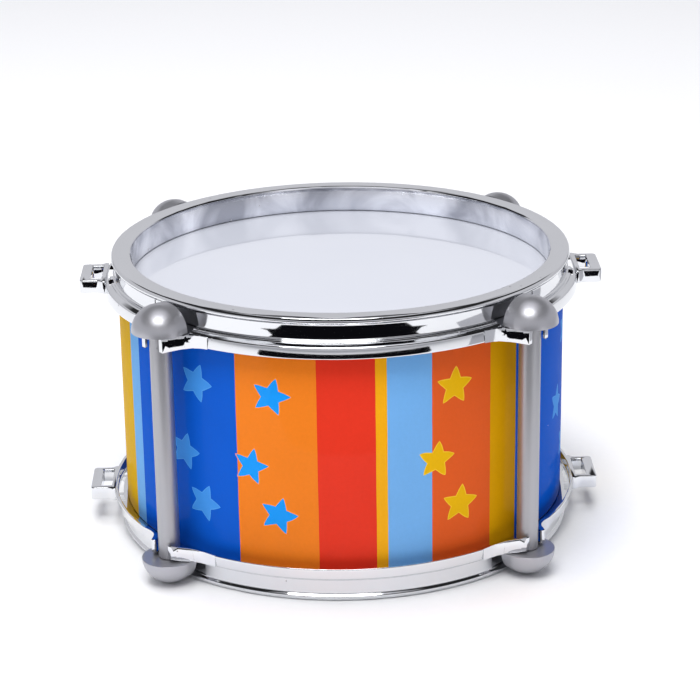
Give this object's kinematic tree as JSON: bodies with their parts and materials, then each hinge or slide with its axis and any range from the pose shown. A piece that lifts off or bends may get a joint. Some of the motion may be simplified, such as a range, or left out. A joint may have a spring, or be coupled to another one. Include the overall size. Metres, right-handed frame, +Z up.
{
  "type": "toy snare drum",
  "caption": "Small snare drum with a printed shell, plated hoops, domed corner columns, two stretched skins and wire snares.",
  "frame": {"origin": "centre of the base, on the floor under the bottom hoop", "axes": "+Z up along the drum's axis, -Y to the front between two columns, +X through the right-hand strap loops"},
  "size_m": [0.2382, 0.2176, 0.13],
  "materials": {
    "plated_hoop": "bright chrome plating on moulded plastic",
    "printed_shell": "glossy printed stripes and stars",
    "skin": "smooth glossy white film",
    "skin_ring": "moulded white plastic",
    "satin_grey": "satin silver-grey paint on moulded plastic",
    "zinc_steel": "zinc-plated",
    "snare_wire": "drawn wire",
    "snare_steel": "pressed sheet"
  },
  "bodies": {
    "drum": {"batter_head": "skin", "batter_head_ring": "skin_ring", "bottom_dome_back_left": "satin_grey", "bottom_dome_back_right": "satin_grey", "bottom_dome_front_left": "satin_grey", "bottom_dome_front_right": "satin_grey", "bottom_hoop": "plated_hoop", "captive_nut_back_left": "zinc_steel", "captive_nut_back_right": "zinc_steel", "captive_nut_front_left": "zinc_steel", "captive_nut_front_right": "zinc_steel", "column_back_left": "satin_grey", "column_back_right": "satin_grey", "column_front_left": "satin_grey", "column_front_right": "satin_grey", "shell": "printed_shell", "snare_bracket_left": "snare_steel", "snare_bracket_right": "snare_steel", "snare_clamp_screw_left": "snare_steel", "snare_clamp_screw_right": "snare_steel", "snare_head": "skin", "snare_head_ring": "skin_ring", "snare_plate_left": "snare_steel", "snare_plate_right": "snare_steel", "snare_strand_1": "snare_wire", "snare_strand_2": "snare_wire", "snare_strand_3": "snare_wire", "snare_strand_4": "snare_wire", "snare_strand_5": "snare_wire", "snare_strand_6": "snare_wire", "snare_strand_7": "snare_wire", "snare_strand_8": "snare_wire", "snare_wall_screw_left": "snare_steel", "snare_wall_screw_right": "snare_steel", "top_dome_back_left": "satin_grey", "top_dome_back_right": "satin_grey", "top_dome_front_left": "satin_grey", "top_dome_front_right": "satin_grey", "top_hoop": "plated_hoop"},
    "screw_back_left": {"tension_screw_back_left": "zinc_steel"},
    "screw_back_right": {"tension_screw_back_right": "zinc_steel"},
    "screw_front_left": {"tension_screw_front_left": "zinc_steel"},
    "screw_front_right": {"tension_screw_front_right": "zinc_steel"}
  },
  "joints": [
    {"name": "turn_screw_back_left", "type": "hinge", "parent": "drum", "child": "screw_back_left", "pos_m": [-0.07941, 0.07941, 0.002], "axis": [0, 0, 1], "continuous": true},
    {"name": "turn_screw_back_right", "type": "hinge", "parent": "drum", "child": "screw_back_right", "pos_m": [0.07941, 0.07941, 0.002], "axis": [0, 0, 1], "continuous": true},
    {"name": "turn_screw_front_left", "type": "hinge", "parent": "drum", "child": "screw_front_left", "pos_m": [-0.07941, -0.07941, 0.002], "axis": [0, 0, 1], "continuous": true},
    {"name": "turn_screw_front_right", "type": "hinge", "parent": "drum", "child": "screw_front_right", "pos_m": [0.07941, -0.07941, 0.002], "axis": [0, 0, 1], "continuous": true}
  ]
}
